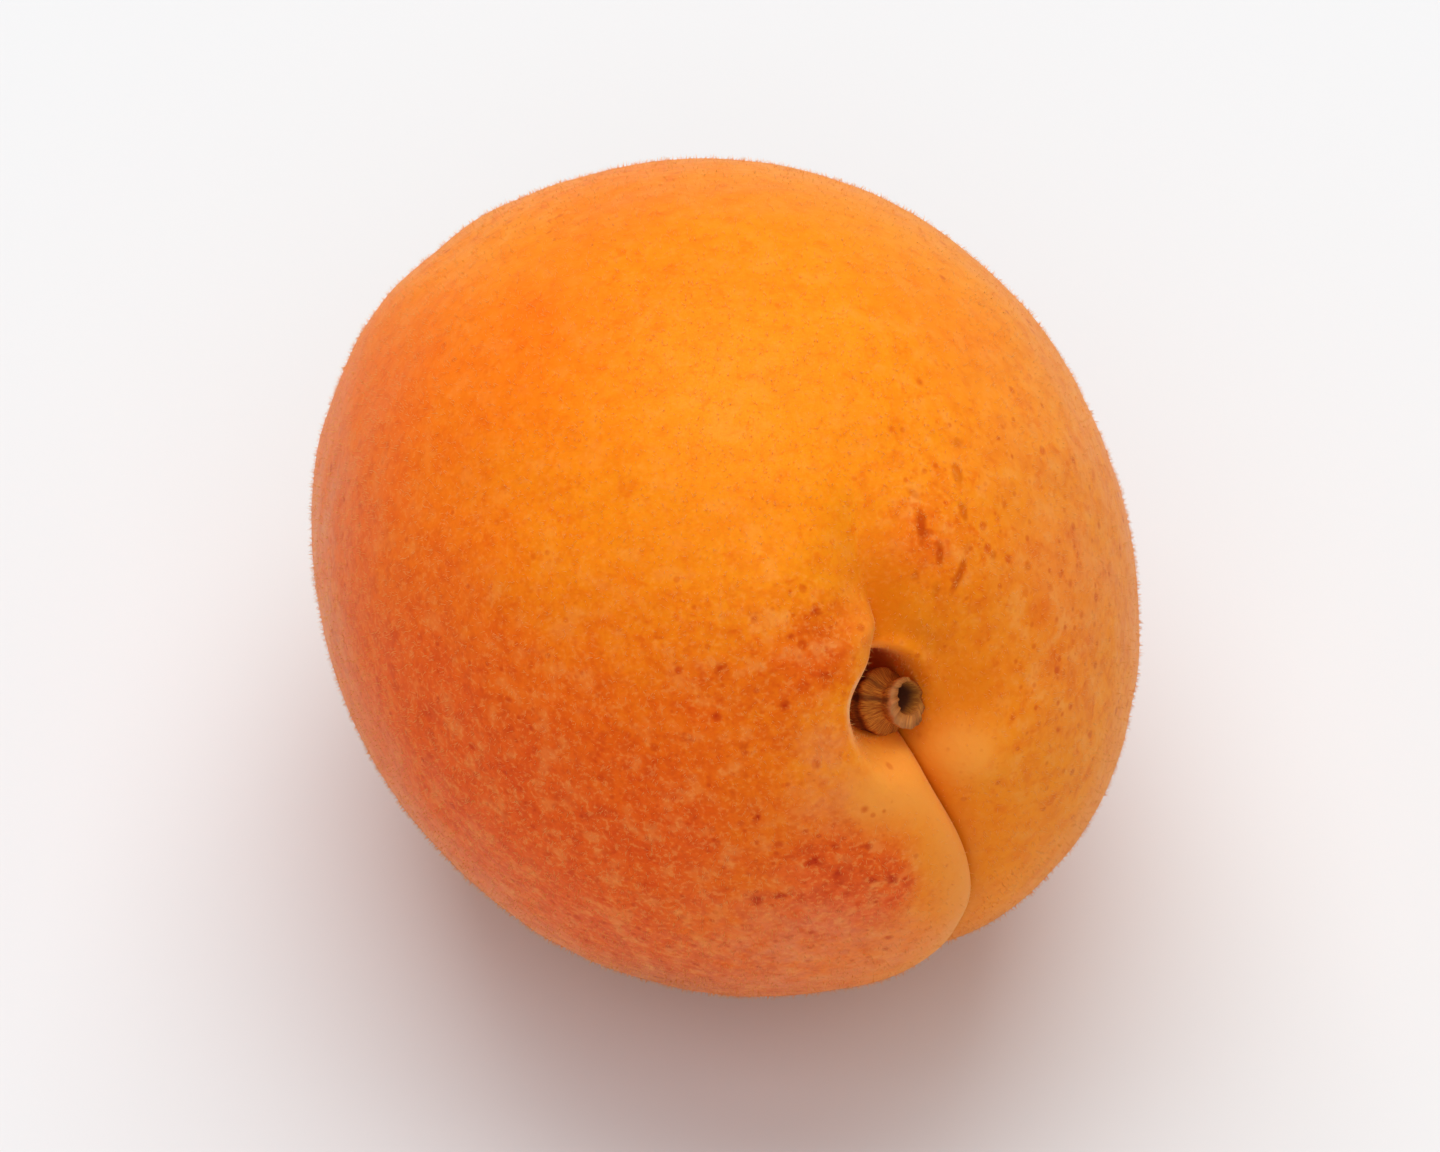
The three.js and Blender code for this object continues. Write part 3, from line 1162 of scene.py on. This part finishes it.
@dataclass(frozen=True)
class Bands:
    """The coloured bands beside the grooves and round the pit: millimetres and degrees."""

    lip_offset: float = 0.6
    lip_left: float = 1.7
    lip_right: float = 1.0
    lip_start: Pair = (2.0, 4.5)
    lip_fade: Pair = (80.0, 150.0)
    lip_bare: float = 0.9
    seam_share: float = 0.5
    seam_offset: float = 1.1
    seam_width: float = 0.9
    seam_polar: float = 12.0
    seam_reach: float = 6.0
    shoulder_rise: Pair = (0.008, 0.06)
    shoulder_fall: Pair = (0.5, 1.5)
    # Where the painted highlight on the pit's rim lies.
    edge: Spot = Spot(-132, 9.5, 1.4, 5.5)
    crease_left: float = 0.25
    crease_near: float = 0.7
    crease_wide: float = 1.8
    crease_start: Pair = (2.0, 3.5)
    crease_fade: Pair = (50.0, 110.0)
    hollow: Pair = (2.2, 5.0)
    scar: float = 0.9
    scar_polar: float = 150.0

    def lip(self, across: np.ndarray, out: np.ndarray, polar: np.ndarray) -> np.ndarray:
        """Return the pale band along the suture's lip.

        Args:
            across: Distance across the suture.
            out: Distance from the stem axis.
            polar: Angle from the stem axis.

        Returns:
            The strength, 0 to 1.
        """
        left = bell((across + self.lip_offset) / self.lip_left)
        band = np.where(across < 0, left, bell(across / self.lip_right))
        return band * ramp(*self.lip_start, out) * (1 - ramp(*self.lip_fade, polar))

    def seam(self, across: np.ndarray, polar: np.ndarray) -> np.ndarray:
        """Return the pale band along the seam's lip, near the stem."""
        band = bell((across + self.seam_offset) / self.seam_width)
        return self.seam_share * band * bell((polar - self.seam_polar) / self.seam_reach)

    def shoulder(self, pit: np.ndarray) -> np.ndarray:
        """Return the narrow band where the skin turns down into the pit."""
        return ramp(*self.shoulder_rise, pit) * (1 - ramp(*self.shoulder_fall, pit))

    def crease(self, across: np.ndarray, out: np.ndarray, polar: np.ndarray) -> np.ndarray:
        """Return the painted shade in the suture, narrow on its left and wide on its right.

        Args:
            across: Distance across the suture.
            out: Distance from the stem axis.
            polar: Angle from the stem axis.

        Returns:
            The strength, 0 to 1.
        """
        right = (bell(across / self.crease_near) + bell(across / self.crease_wide)) / 2
        band = np.where(across < 0, bell(across / self.crease_left), right)
        return band * ramp(*self.crease_start, out) * (1 - ramp(*self.crease_fade, polar))


@dataclass
class Fruit:
    """The grown body: skin and flesh, millimetres and degrees."""

    depth: float = 47.0
    width: float = 44.0
    height: float = 51.5
    taper: float = 0.03
    swells: tuple[Spot, ...] = (
        Spot(28, 60, 0.6, 24),
        Spot(-150, 120, 0.45, 26),
        Spot(-40, 40, 0.25, 26),
        Spot(42, 82, 0.3, 30),
        Spot(75, 38, -0.5, 22),
        Spot(-150, 24, 0.45, 14),
        Spot(158, 111, -0.35, 24),
        Spot(24, 16.5, 0.4, 5),
    )
    suture: Groove = Groove(
        depth=0.75,
        stem_depth=1.7,
        stem_reach=22.0,
        steep=0.95,
        gentle=2.6,
        softened=0.0,
        lip=Lip(0.5, 3.6, 2.8, 0.75, 0.9, 1.1, 1.6, 0.3, 25.0, 30.0),
        bends=(Bend(0, 18, -9), Bend(27, 14, 4)),
        drifts=(Drift(0, 25, -2.2), Drift(35, 60, -3), Drift(60, 110, 8), Drift(140, 180, -5)),
    )
    seam: Groove = Groove(
        depth=0.28,
        stem_depth=1.7,
        stem_reach=18.0,
        steep=0.85,
        gentle=4.0,
        softened=1.4,
        lip=Lip(0.4, 1.9, 1.5, 0.85, 0.8, 1.0, 3.0, 0.0, 10.0, 7.0),
        bends=(Bend(8, 4, 5), Bend(14, 6, -4), Bend(32, 15, -16)),
        drifts=(Drift(50, 110, 12), Drift(140, 180, -12)),
    )
    cavity_depth: float = 6.6
    cavity_centre: Pair = (-0.04, -0.65)
    cavity_steep_radius: float = 2.27
    cavity_wide_radius: float = 2.35
    cavity_steepness: float = 6.0
    cavity_gentleness: float = 2.2
    cavity_gentle_turn: float = 12.0
    cavity_stretch: float = 0.4
    cavity_stretch_turn: float = -5.0
    bowl_depth: float = 1.5
    bowl_radius: float = 5.5
    bowl_centre: Pair = (1.2, 2.4)
    apex_rise: float = 0.7
    apex_width: float = 3.2
    scar: float = 0.8
    scar_width: float = 1.0
    uneven: tuple[Wave, ...] = (Wave(3, 9.0, 0.10), Wave(4, 3.2, 0.035))
    calm: Pair = (2.5, 8.0)
    rings: int = 240
    sectors: int = 380
    stem_crowding: float = 0.42
    stem_power: float = 1.9
    suture_crowding: float = 0.72
    pose: Pose = field(default_factory=Pose)
    marks: dict[str, tuple[Spot, ...]] = field(default_factory=lambda: MARKS)
    bands: Bands = Bands()
    finish: ApricotSkin = field(default_factory=ApricotSkin)
    shift: np.ndarray = field(default_factory=lambda: np.zeros(3))

    def cavity(self, x: np.ndarray, y: np.ndarray) -> tuple[np.ndarray, np.ndarray]:
        """Return the depths of the pit and of its bowl at places across the stem axis.

        Args:
            x: Places toward the suture.
            y: Places toward the right cheek.

        Returns:
            The depth of the pit and the depth of the bowl.
        """
        from_bowl = np.hypot(x - self.bowl_centre[0], y - self.bowl_centre[1])
        bowl = self.bowl_depth * bell(from_bowl / self.bowl_radius)
        x = x - self.cavity_centre[0]
        y = y - self.cavity_centre[1]
        out = np.hypot(x, y)
        turn = np.arctan2(y, x)
        gentle = ((1 + np.cos(turn - math.radians(self.cavity_gentle_turn))) / 2) ** 2
        wider = self.cavity_wide_radius - self.cavity_steep_radius
        radius = self.cavity_steep_radius + wider * gentle
        stretched = np.cos(turn - math.radians(self.cavity_stretch_turn)) ** 2
        radius = radius + self.cavity_stretch * stretched
        power = self.cavity_steepness + (self.cavity_gentleness - self.cavity_steepness) * gentle
        return self.cavity_depth * wall(out / radius, power), bowl

    def skin(self, polar: np.ndarray, side: np.ndarray) -> dict[str, np.ndarray]:
        """Work out the skin on the fruit's own axes.

        Args:
            polar: Angle from the stem axis, in radians.
            side: Angle from the suture line, positive to the right cheek.

        Returns:
            The points, and what the finish needs to know of them.
        """
        near_back = (1 - np.cos(side)) / 2
        turn = side + self.suture.turned(polar) * (1 - near_back)
        turn = turn + self.seam.turned(polar) * near_back
        toward = direction(turn, polar)
        half = np.array([self.depth, self.width, self.height]) / 2
        point = toward * half
        point[..., :2] *= (1 + self.taper * toward[..., 2])[..., None]
        outward = toward / half
        outward /= np.linalg.norm(outward, axis=-1, keepdims=True)
        out = np.hypot(point[..., 0], point[..., 1])
        across = side * out
        across_back = np.where(side > 0, math.pi - side, -math.pi - side) * out
        p = np.degrees(polar)

        swell = sum(spot.at(toward) for spot in self.swells)
        rise = swell + self.suture.raised(p, across, out) + self.seam.raised(p, across_back, out)
        point += outward * rise[..., None]
        lean = self.suture.leaning(p, across, out)
        lean -= self.seam.leaning(p, across_back, out) * self.seam.lip.fade(p)
        sideways = np.stack([-np.sin(turn), np.cos(turn), 0 * turn], axis=-1)
        point += sideways * lean[..., None]

        pit, bowl = self.cavity(point[..., 0], point[..., 1])
        apex = self.apex_rise * bell(out / self.apex_width)
        apex = apex - self.scar * bell(out / self.scar_width)
        point[..., 2] += np.where(toward[..., 2] > 0, -pit - bowl, apex)
        return {
            "point": point,
            "toward": toward,
            "outward": outward,
            "turn": turn,
            "across": across,
            "across_back": across_back,
            "out": out,
            "polar": p,
            "pit": pit * (toward[..., 2] > 0),
        }

    def grid(self) -> tuple[np.ndarray, np.ndarray]:
        """Return the polar and side angles of the mesh.

        Returns:
            The polar angles of the rings and the turns of the points, in radians.
        """
        along = np.arange(1, self.rings) / self.rings
        crowded = (1 - self.stem_crowding) * along**self.stem_power
        polar = math.pi * (self.stem_crowding * along + crowded)
        u = 2 * np.arange(self.sectors) / self.sectors - 1
        side = math.pi * u - self.suture_crowding * np.sin(math.pi * u)
        return np.meshgrid(polar, side, indexing="ij")

    def rest(self, points: np.ndarray) -> np.ndarray:
        """Carry points from the fruit's own axes to the resting frame, in millimetres."""
        return points @ self.pose.axes() + self.shift

    def build(self) -> bpy.types.Object:
        """Build and dress the fruit.

        Returns:
            The dressed fruit.
        """
        polar, side = self.grid()
        skin = self.skin(polar, side)
        ends = [self.skin(np.array([p]), np.array([0.0])) for p in (0.0, math.pi)]
        poles = [end["point"][0] * (0, 0, 1) for end in ends]
        uneven = sum(wave.at(skin["point"]) for wave in self.uneven)
        calm = ramp(*self.calm, skin["out"])
        skin["point"] += skin["outward"] * (uneven * calm)[..., None]

        rested = self.rest(skin["point"])
        low, high = (np.array(corner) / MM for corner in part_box("fruit"))
        self.shift = (low + high) / 2 - (rested.min((0, 1)) + rested.max((0, 1))) / 2
        self.shift[2] = -rested[..., 2].min() - self.pose.cut
        rested = self.rest(skin["point"])
        rested[..., 2] = np.maximum(rested[..., 2], 0.0)
        first, last = (self.rest(pole) for pole in poles)

        made = closed_mesh("apricot_fruit", rested, first, last)
        for name, values in self.masks(skin).items():
            hold(made, name, values, values[0].mean(), values[-1].mean())
        made.data.materials.append(self.finish.material())
        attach(made, "root")
        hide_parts("fruit")
        return made

    def masks(self, skin: dict[str, np.ndarray]) -> dict[str, np.ndarray]:
        """Return the numbers that the finish reads at each point of the skin.

        Args:
            skin: What skin() returns.

        Returns:
            The values by name.
        """
        toward, across, out, polar = skin["toward"], skin["across"], skin["out"], skin["polar"]
        bands = self.bands
        at = {name: sum(spot.at(toward) for spot in spots) for name, spots in self.marks.items()}
        lip = bands.lip(across, out, polar)
        masks = {
            **at,
            "blush": at["blush"] * (1 - bands.lip_bare * lip),
            "pale": at["pale"] + lip + bands.seam(skin["across_back"], polar),
            "edge": bands.shoulder(skin["pit"]) * bands.edge.at(toward),
            "crease": bands.crease(across, out, polar),
            "speckle": at["speckle"] * (1 - lip) * (1 - np.clip(at["shaded_gold"], 0, 1)),
            "hollow": ramp(*bands.hollow, skin["pit"]),
            "scar": bell(out / bands.scar) * (polar > bands.scar_polar),
        }
        masks = {name: np.clip(values, 0, 1) for name, values in masks.items()}
        masks["meridian"] = skin["turn"]
        masks["down"] = np.radians(polar)
        return masks


# ---------------------------------------------------------------- the stem stub


@dataclass
class Stem:
    """The dry stub of the stem: millimetres and degrees."""

    radius: float = 1.8
    end_radius: float = 1.22
    length: float = 5.5
    ring_height: float = 3.9
    ring_rise: float = 0.2
    ring_width: float = 0.3
    taper_below: float = 0.4
    taper_above: float = 0.6
    neck: float = 0.12
    neck_above: float = 0.65
    neck_width: float = 0.3
    flare: float = 0.16
    flare_length: float = 1.0
    folds: Wave = Wave(11, 1.6, 0.08)
    inner_folds: float = 0.4
    wood_round: float = 3.0
    wood_drawn: float = 0.25
    grain_round: float = 3.0
    grain_along: float = 4.0
    # Painted shade: in the valleys of the folds, in the gap below the ring and on the lower body.
    crease_folds: Pair = (0.028, 0.104)
    crease_dark: float = 0.75
    gap_shade_dark: float = 0.7
    low_dark: float = 0.24
    low_start: Pair = (0.3, 1.1)
    fibres: Wave = Wave(12, 0.5, 0.025)
    ragged: Wave = Wave(13, 1.5, 0.14)
    notches: Wave = Wave(14, 0.6, 0.05)
    ragged_length: float = 1.2
    gap_shade_below: float = 0.55
    gap_shade_width: float = 0.26
    hollow_radius: float = 0.92
    hollow_depth: float = 1.1
    hollow_offset: Pair = (-0.12, 0.27)
    # Side toward which the end's rim is painted lighter, as if lit from there.
    rim_turn: float = -100.0
    rim_fade: float = 0.45
    rim_radii: Pair = (0.8, 1.05)
    rim_heights: Pair = (-0.4, -0.08)
    dark_radii: Pair = (0.6, 0.95)
    oval: float = 0.05
    lean_turn: float = 89.0
    lean: float = 25.7
    foot: Pair = (0.97, -1.8)
    sunk: float = 1.2
    rings: int = 110
    hollow_rings: int = 26
    sectors: int = 120
    finish: StemWood = field(default_factory=StemWood)

    def profile(self, height: np.ndarray) -> np.ndarray:
        """Return the stub's radius at each height above its foot.

        Args:
            height: Height above the foot.

        Returns:
            The radius at each height.
        """
        above = height - self.ring_height
        taper = (self.end_radius - self.radius) * ramp(-self.taper_below, self.taper_above, above)
        ring = self.ring_rise * bell(above / self.ring_width)
        neck = self.neck * bell((above - self.neck_above) / self.neck_width)
        end = self.flare * ramp(self.length - self.flare_length, self.length, height)
        return self.radius + taper + ring + end - neck

    def build(self, fruit: Fruit) -> bpy.types.Object:
        """Build and dress the stub where the fruit carries it.

        Args:
            fruit: Fruit that carries the stub.

        Returns:
            The dressed stub.
        """
        hollow = np.arange(1, self.hollow_rings + 1) / self.hollow_rings
        height_in = self.length - self.hollow_depth * (1 - hollow**3)
        height_out = self.length * (1 - np.arange(self.rings) / (self.rings - 1))
        height = np.concatenate([height_in, height_out])
        radius = np.concatenate([self.hollow_radius * hollow, self.profile(height_out)])
        angle = 2 * math.pi * np.arange(self.sectors) / self.sectors
        heights, angles = np.meshgrid(height, angle, indexing="ij")
        radii = radius[:, None] * (1 + self.oval * np.cos(2 * angles))
        outer = np.zeros_like(heights)
        outer[self.hollow_rings :] = 1.0

        circle = np.array([np.cos(angles), np.sin(angles)]) * self.wood_round
        around = np.stack([*circle, heights * self.wood_drawn], axis=-1)
        level = around * (1, 1, 0)
        folds = self.folds.at(around)
        inner = self.inner_folds * (1 - outer)
        radii += (folds + self.fibres.at(around)) * (inner + outer)
        ragged = self.ragged.at(level) + self.notches.at(level)
        heights = heights + ragged * ramp(self.length - self.ragged_length, self.length, heights)
        points = np.stack([radii * np.cos(angles), radii * np.sin(angles), heights], axis=-1)
        points[: self.hollow_rings, :, :2] += self.hollow_offset

        middle = np.array([*self.hollow_offset, self.length - self.hollow_depth])
        place = self.place(fruit)
        parts = (points, middle, np.zeros(3))
        rested = [fruit.rest(part @ place[:3, :3].T + place[:3, 3]) for part in parts]
        made = closed_mesh("apricot_stem", *rested)

        # The cut end's pale grey rim, painted lighter toward rim_turn: a painted highlight on its
        # lit side.
        lit = 1 - self.rim_fade * (1 - np.cos(angles - math.radians(self.rim_turn)))
        rim = lit * ramp(*self.rim_radii, radii) * ramp(*self.rim_heights, heights - self.length)
        # Painted shade inside the hollow end, darkest deep in it.
        dark = (1 - outer) * (1 - ramp(*self.dark_radii, radii))
        # Painted shade of the gap just below the ring.
        gap_shade = bell((heights - self.ring_height + self.gap_shade_below) / self.gap_shade_width) * outer
        # Painted shadow on the lower body, below the ring.
        low = outer * ramp(*self.low_start, self.ring_height - heights)
        hold(made, "round", angles * self.grain_round, 0.0, 0.0)
        hold(made, "along", heights * self.grain_along, 0.0, 0.0)
        hold(made, "rim", np.clip(rim, 0, 1), 0.0, 0.0)
        # Painted shade in the valleys of the folds, away from the rim.
        creases = self.crease_dark * ramp(*self.crease_folds, -folds) * outer * (1 - rim)
        dark += self.gap_shade_dark * gap_shade + creases + self.low_dark * low
        hold(made, "dark", np.clip(dark, 0, 1), 1.0, 1.0)
        made.data.materials.append(self.finish.material())
        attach(made, "root")
        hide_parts("stem")
        return made

    def place(self, fruit: Fruit) -> np.ndarray:
        """Return the matrix from the stub's own axis to the fruit's axes.

        Args:
            fruit: Fruit that carries the stub.

        Returns:
            A matrix of four rows.
        """
        axis = Vector(direction(np.radians(self.lean_turn), np.radians(self.lean)))
        turned = Vector((0.0, 0.0, 1.0)).rotation_difference(axis).to_matrix().to_4x4()
        foot_height = fruit.height / 2 - fruit.cavity_depth - self.sunk
        return np.array(Matrix.Translation((*self.foot, foot_height)) @ turned)


@dataclass
class Down:
    """The fine down on the skin: millimetres and degrees."""

    count: int = 48_000
    shortest: float = 0.16
    longest: float = 0.36
    thickness: float = 0.022
    lean_low: float = 15.0
    lean_high: float = 65.0
    sunk: float = 0.04
    seed: int = 21
    bare_where: tuple[tuple[str, float], ...] = (
        ("hollow", 1.0),
        ("pale", 0.9),
        ("shaded_gold", 0.8),
        ("edge", 1.0),
    )
    finish: DownHair = field(default_factory=DownHair)

    def build(self, skin: bpy.types.Object) -> bpy.types.Object:
        """Grow the down on a skin.

        Args:
            skin: The fruit's dressed object.

        Returns:
            The object that holds all the hairs.
        """
        rng = np.random.default_rng(self.seed)
        root, normal = self._roots(skin.data, rng)
        side = np.cross(normal, rng.normal(size=normal.shape))
        side /= np.linalg.norm(side, axis=1, keepdims=True)
        other = np.cross(normal, side)
        lean = np.radians(rng.uniform(self.lean_low, self.lean_high, len(root)))[:, None]
        length = rng.uniform(self.shortest, self.longest, len(root))[:, None]
        along = normal * np.cos(lean) + side * np.sin(lean)
        base = root - normal * self.sunk
        tip = base + along * (length + self.sunk)
        corners = [
            base + self.thickness * (side * math.cos(turn) + other * math.sin(turn))
            for turn in (0.0, 2.0 * math.pi / 3.0, 4.0 * math.pi / 3.0)
        ]
        points = np.stack([*corners, tip], axis=1).reshape(-1, 3) * MM
        first = 4 * np.arange(len(root))[:, None]
        corners_of = ((0, 2, 1), (0, 1, 3), (1, 2, 3), (2, 0, 3))
        faces = np.concatenate([first + corners for corners in corners_of])
        mesh = bpy.data.meshes.new("apricot_down")
        mesh.from_pydata(points.tolist(), [], faces.tolist())
        mesh.shade_smooth()
        made = bpy.data.objects.new("apricot_down", mesh)
        bpy.context.scene.collection.objects.link(made)
        made.data.materials.append(self.finish.material())
        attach(made, "root")
        return made

    def _roots(
        self, mesh: bpy.types.Mesh, rng: np.random.Generator
    ) -> tuple[np.ndarray, np.ndarray]:
        """Choose where the hairs grow.

        Args:
            mesh: The skin's mesh.
            rng: Source of the random choice.

        Returns:
            The roots, in millimetres, and the skin's normals there.
        """
        mesh.calc_loop_triangles()
        corners = np.empty(3 * len(mesh.loop_triangles), dtype=np.int32)
        mesh.loop_triangles.foreach_get("vertices", corners)
        corners = corners.reshape(-1, 3)
        places = np.empty(3 * len(mesh.vertices), dtype=np.float32)
        mesh.vertices.foreach_get("co", places)
        places = places.reshape(-1, 3) / MM
        bare = np.zeros(len(mesh.vertices), dtype=np.float32)
        for name, weight in self.bare_where:
            values = np.empty_like(bare)
            mesh.attributes[name].data.foreach_get("value", values)
            bare = np.maximum(bare, values * weight)
        a, b, c = (places[corners[:, k]] for k in range(3))
        cross = np.cross(b - a, c - a)
        area = np.linalg.norm(cross, axis=1)
        weight = area * (1 - bare[corners].mean(axis=1)) * (a[:, 2] > self.longest)
        chosen = rng.choice(len(area), self.count, p=weight / weight.sum())
        u, v = rng.uniform(size=(2, self.count, 1))
        flip = u + v > 1
        u, v = np.where(flip, 1 - u, u), np.where(flip, 1 - v, v)
        root = a[chosen] + (b - a)[chosen] * u + (c - a)[chosen] * v
        return root, cross[chosen] / area[chosen, None]


# ---------------------------------------------------------------- the studio


@dataclass
class Softbox:
    """A square lamp: place and aim in metres, power in watts."""

    name: str
    place: Triple
    side: float
    power: float
    colour: Triple = (1.0, 1.0, 1.0)

    def build(self, aim: Vector) -> None:
        """Hang the lamp and aim it.

        Args:
            aim: Point that the light faces.
        """
        data = bpy.data.lights.new(self.name, "AREA")
        data.shape = "SQUARE"
        data.size = self.side
        data.energy = self.power
        data.color = self.colour
        lamp = bpy.data.objects.new(self.name, data)
        lamp.location = self.place
        lamp.rotation_euler = (aim - Vector(self.place)).to_track_quat("-Z", "Y").to_euler()
        bpy.context.scene.collection.objects.link(lamp)


@dataclass
class Studio:
    """Floor, lights and camera."""

    floor_side: float = 6.0
    elevation: float = 53.0
    distance: float = 0.834
    lens: float = 375.0
    sensor: float = 36.0
    clip: float = 0.05
    aim: Triple = (0.0007, -0.0022, 0.0235)
    lamps: tuple[Softbox, ...] = (
        Softbox("top_light", (0.0, 0.3, 0.9), 0.9, 7.2),
        Softbox("front_fill", (0.0, -0.65, 0.95), 0.8, 2.4),
    )
    ambient: float = 0.42

    def build(self) -> None:
        """Set up the floor, the lights, the world and the camera."""
        scene = bpy.context.scene
        mesh = bpy.data.meshes.new("floor")
        half = self.floor_side / 2
        corners = [(-half, -half, 0), (half, -half, 0), (half, half, 0), (-half, half, 0)]
        mesh.from_pydata(corners, [], [(0, 1, 2, 3)])
        floor = bpy.data.objects.new("floor", mesh)
        mesh.materials.append(PaleFloor().material())
        scene.collection.objects.link(floor)

        aim = Vector(self.aim)
        for lamp in self.lamps:
            lamp.build(aim)
        world = bpy.data.worlds.new("studio_air")
        world.use_nodes = True
        sky = world.node_tree.nodes["Background"]
        sky.inputs["Color"].default_value = (1.0, 1.0, 1.0, 1.0)
        sky.inputs["Strength"].default_value = self.ambient
        scene.world = world
        scene.view_settings.view_transform = "Standard"

        tilt = math.radians(self.elevation)
        data = bpy.data.cameras.new("camera")
        data.lens = self.lens
        data.sensor_width = self.sensor
        data.clip_start = self.clip
        camera = bpy.data.objects.new("camera", data)
        camera.location = aim + Vector((0.0, -math.cos(tilt), math.sin(tilt))) * self.distance
        camera.rotation_euler = (math.pi / 2 - tilt, 0.0, 0.0)
        scene.collection.objects.link(camera)
        scene.camera = camera


def main() -> None:
    """Build and dress the apricot, then the studio around it."""
    logging.basicConfig(level=logging.INFO, format="%(name)s: %(message)s")
    fruit = Fruit()
    skin = fruit.build()
    for made in (skin, Stem().build(fruit), Down().build(skin)):
        size = [round(side / MM, 1) for side in made.dimensions]
        LOG.info("%s: %d faces, %s mm", made.name, len(made.data.polygons), size)
    Studio().build()


if __name__ == "__main__":
    main()
